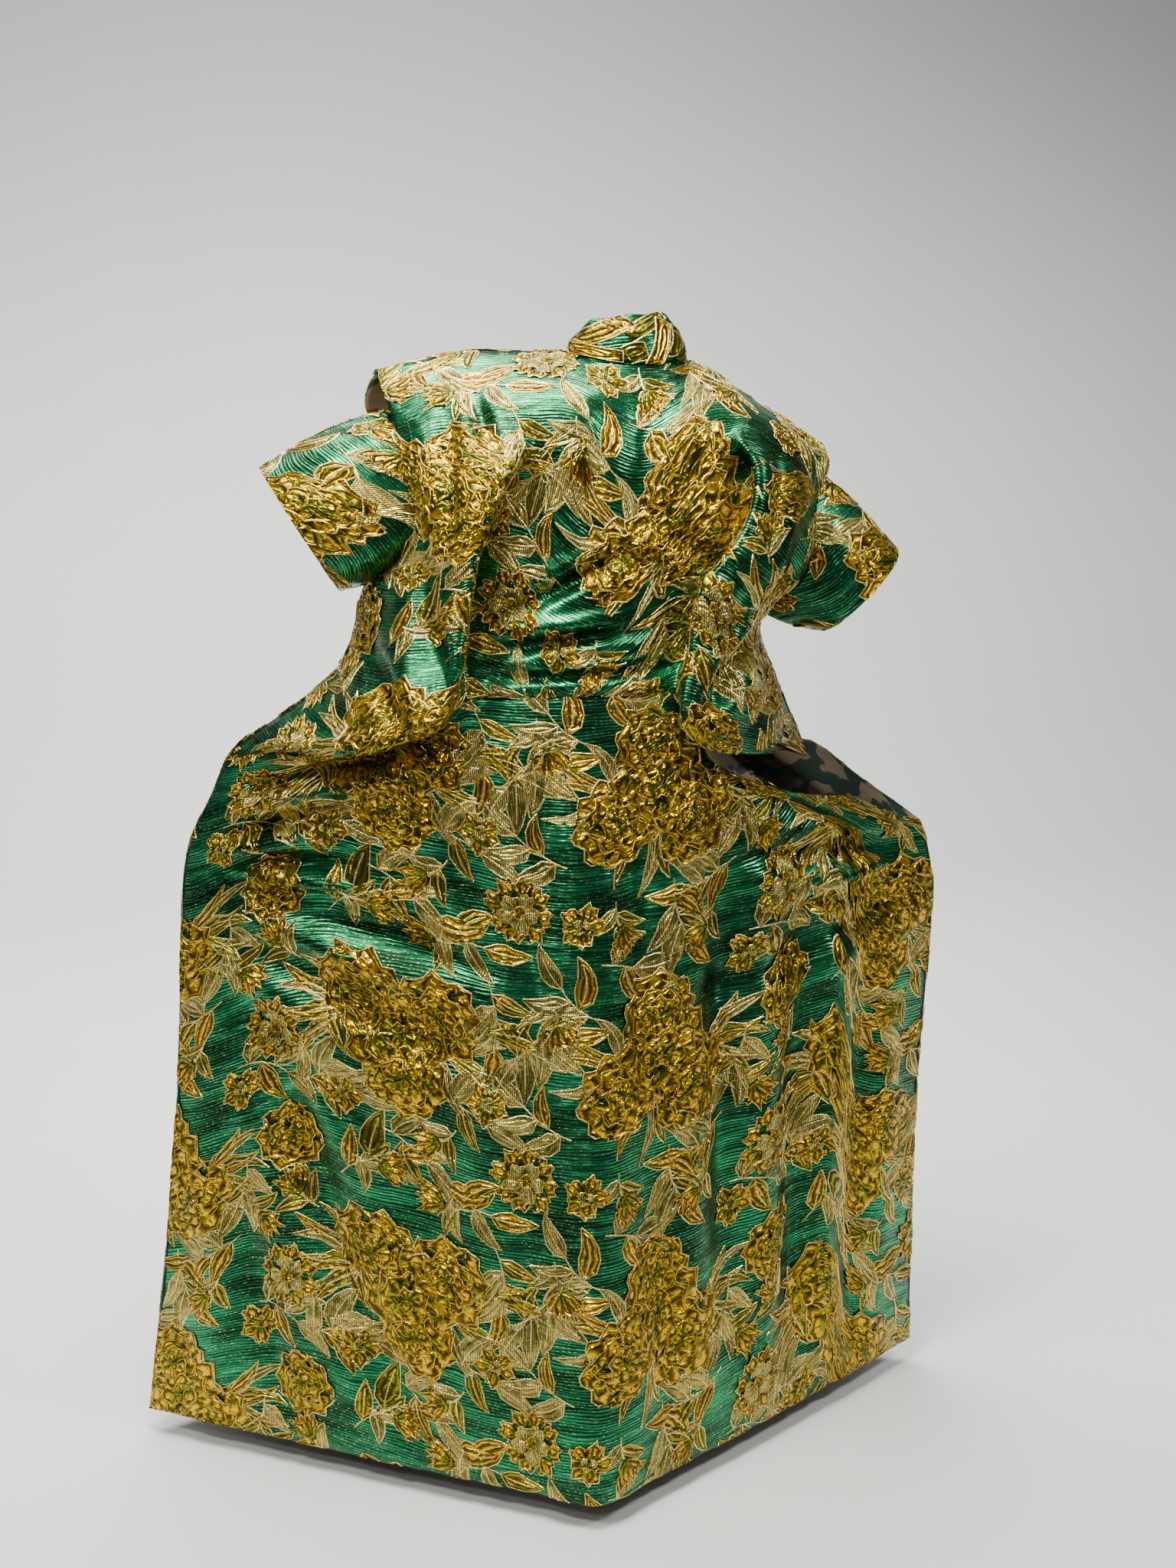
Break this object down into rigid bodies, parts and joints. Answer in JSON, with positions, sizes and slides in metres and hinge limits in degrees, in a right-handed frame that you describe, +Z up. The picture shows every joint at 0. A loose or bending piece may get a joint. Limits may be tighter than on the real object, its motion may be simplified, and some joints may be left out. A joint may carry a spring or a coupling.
{
  "type": "brocade gown",
  "caption": "Full-length worn gown in raised floral brocade: stand collar, two standing back folds that drape to the side seams, short wide sleeves and a flared skirt held out at the sides.",
  "frame": {"origin": "the centre of the neck opening, level with the nape, where the shoulders carry the gown", "axes": "+Z up, the front of the gown faces -Y, the wearer's left is +X"},
  "size_m": [1.091, 0.496, 1.4614],
  "materials": {
    "brocade": "crinkled green satin ground with a fine weft",
    "gold_motifs": "raised mustard and olive floral weave",
    "cream_motifs": "raised pale gold hatched leaves and petals",
    "gold_outline": "metallic thread round the motifs",
    "thread": "sewing thread along seams and hems"
  },
  "bodies": {
    "root": {"back": "brocade", "front": "brocade", "skirt_back": "brocade", "skirt_front": "brocade", "sleeve_left": "brocade", "sleeve_right": "brocade", "collar": "brocade"}
  },
  "joints": []
}
